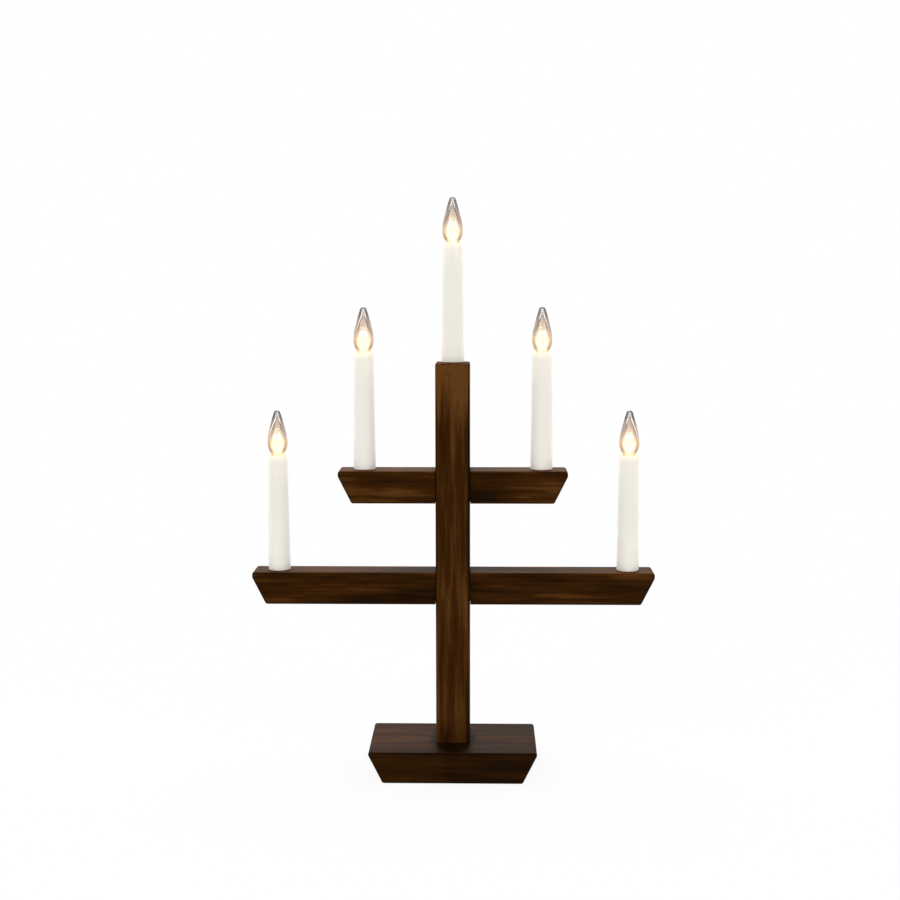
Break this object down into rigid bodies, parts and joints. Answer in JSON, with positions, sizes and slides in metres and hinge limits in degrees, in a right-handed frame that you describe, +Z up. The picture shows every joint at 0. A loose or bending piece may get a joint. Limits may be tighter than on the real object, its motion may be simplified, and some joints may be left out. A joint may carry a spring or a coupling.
{
  "type": "advent candle holder",
  "caption": "Stained wooden advent candle holder: a post with two cross arms on a wedge-ended base, with electric candles and screw-in flame lamps.",
  "frame": {"origin": "on the table, under the middle of the base's underside", "axes": "+Z up along the post, +X along the arms, -Y to the front, +Y to the cord side"},
  "size_m": [0.3084, 0.0722, 0.4425],
  "materials": {
    "stained_wood": "dark walnut stain, satin, fine straight grain",
    "strip_wood": "thin stained wood strip, satin",
    "candle_plastic": "warm white moulded plastic, semi-gloss",
    "holder_plastic": "white moulded plastic",
    "brass": "thin drawn brass",
    "solder": "dull solder on the contact button",
    "lamp_glass": "clear blown glass",
    "lamp_stem": "glass stem with lead wires and a glowing filament",
    "wire_cover": "brown plastic wire covering",
    "grommet_rubber": "dark brown moulded rubber",
    "screw_steel": "zinc plated wood screw"
  },
  "bodies": {
    "stand": {"base_block": "stained_wood", "post": "stained_wood", "lower_arm": "stained_wood", "upper_arm": "stained_wood", "post_cover_strip": "strip_wood", "lower_left_cover_strip": "strip_wood", "lower_right_cover_strip": "strip_wood", "upper_left_cover_strip": "strip_wood", "upper_right_cover_strip": "strip_wood", "cord_grommet": "grommet_rubber", "post_screw_left": "screw_steel", "post_screw_right": "screw_steel", "feed_wire_left": "wire_cover", "link_wire_left": "wire_cover", "crown_wire_left": "wire_cover", "feed_wire_right": "wire_cover", "link_wire_right": "wire_cover", "crown_wire_right": "wire_cover", "lower_left_sleeve": "candle_plastic", "lower_left_lamp_holder": "holder_plastic", "lower_left_socket_shell": "brass", "lower_left_centre_contact": "brass", "upper_left_sleeve": "candle_plastic", "upper_left_lamp_holder": "holder_plastic", "upper_left_socket_shell": "brass", "upper_left_centre_contact": "brass", "top_sleeve": "candle_plastic", "top_lamp_holder": "holder_plastic", "top_socket_shell": "brass", "top_centre_contact": "brass", "upper_right_sleeve": "candle_plastic", "upper_right_lamp_holder": "holder_plastic", "upper_right_socket_shell": "brass", "upper_right_centre_contact": "brass", "lower_right_sleeve": "candle_plastic", "lower_right_lamp_holder": "holder_plastic", "lower_right_socket_shell": "brass", "lower_right_centre_contact": "brass"},
    "lower_left_lamp_contact": {"lower_left_lamp_button": "solder"},
    "lower_left_lamp": {"lower_left_lamp_cap": "brass", "lower_left_lamp_glass": "lamp_glass", "lower_left_lamp_filament": "lamp_stem"},
    "upper_left_lamp_contact": {"upper_left_lamp_button": "solder"},
    "upper_left_lamp": {"upper_left_lamp_cap": "brass", "upper_left_lamp_glass": "lamp_glass", "upper_left_lamp_filament": "lamp_stem"},
    "top_lamp_contact": {"top_lamp_button": "solder"},
    "top_lamp": {"top_lamp_cap": "brass", "top_lamp_glass": "lamp_glass", "top_lamp_filament": "lamp_stem"},
    "upper_right_lamp_contact": {"upper_right_lamp_button": "solder"},
    "upper_right_lamp": {"upper_right_lamp_cap": "brass", "upper_right_lamp_glass": "lamp_glass", "upper_right_lamp_filament": "lamp_stem"},
    "lower_right_lamp_contact": {"lower_right_lamp_button": "solder"},
    "lower_right_lamp": {"lower_right_lamp_cap": "brass", "lower_right_lamp_glass": "lamp_glass", "lower_right_lamp_filament": "lamp_stem"}
  },
  "joints": [
    {"name": "lower_left_lamp_rise", "type": "slide", "parent": "stand", "child": "lower_left_lamp_contact", "axis": [0, 0, 1], "range_m": [0, 0.0091]},
    {"name": "lower_left_lamp_turn", "type": "hinge", "parent": "lower_left_lamp_contact", "child": "lower_left_lamp", "pos_m": [-0.1344, 0, 0.2388], "axis": [0, 0, 1], "range_deg": [0, 1800]},
    {"name": "upper_left_lamp_rise", "type": "slide", "parent": "stand", "child": "upper_left_lamp_contact", "axis": [0, 0, 1], "range_m": [0, 0.0091]},
    {"name": "upper_left_lamp_turn", "type": "hinge", "parent": "upper_left_lamp_contact", "child": "upper_left_lamp", "pos_m": [-0.0676, 0, 0.3172], "axis": [0, 0, 1], "range_deg": [0, 1800]},
    {"name": "top_lamp_rise", "type": "slide", "parent": "stand", "child": "top_lamp_contact", "axis": [0, 0, 1], "range_m": [0, 0.0091]},
    {"name": "top_lamp_turn", "type": "hinge", "parent": "top_lamp_contact", "child": "top_lamp", "pos_m": [0, 0, 0.399], "axis": [0, 0, 1], "range_deg": [0, 1800]},
    {"name": "upper_right_lamp_rise", "type": "slide", "parent": "stand", "child": "upper_right_lamp_contact", "axis": [0, 0, 1], "range_m": [0, 0.0091]},
    {"name": "upper_right_lamp_turn", "type": "hinge", "parent": "upper_right_lamp_contact", "child": "upper_right_lamp", "pos_m": [0.0676, 0, 0.3172], "axis": [0, 0, 1], "range_deg": [0, 1800]},
    {"name": "lower_right_lamp_rise", "type": "slide", "parent": "stand", "child": "lower_right_lamp_contact", "axis": [0, 0, 1], "range_m": [0, 0.0091]},
    {"name": "lower_right_lamp_turn", "type": "hinge", "parent": "lower_right_lamp_contact", "child": "lower_right_lamp", "pos_m": [0.1344, 0, 0.2388], "axis": [0, 0, 1], "range_deg": [0, 1800]}
  ],
  "couplings": [
    {"joint": "lower_left_lamp_rise", "follows": "lower_left_lamp_turn", "m_per_rad": 0.00028871},
    {"joint": "upper_left_lamp_rise", "follows": "upper_left_lamp_turn", "m_per_rad": 0.00028871},
    {"joint": "top_lamp_rise", "follows": "top_lamp_turn", "m_per_rad": 0.00028871},
    {"joint": "upper_right_lamp_rise", "follows": "upper_right_lamp_turn", "m_per_rad": 0.00028871},
    {"joint": "lower_right_lamp_rise", "follows": "lower_right_lamp_turn", "m_per_rad": 0.00028871}
  ]
}
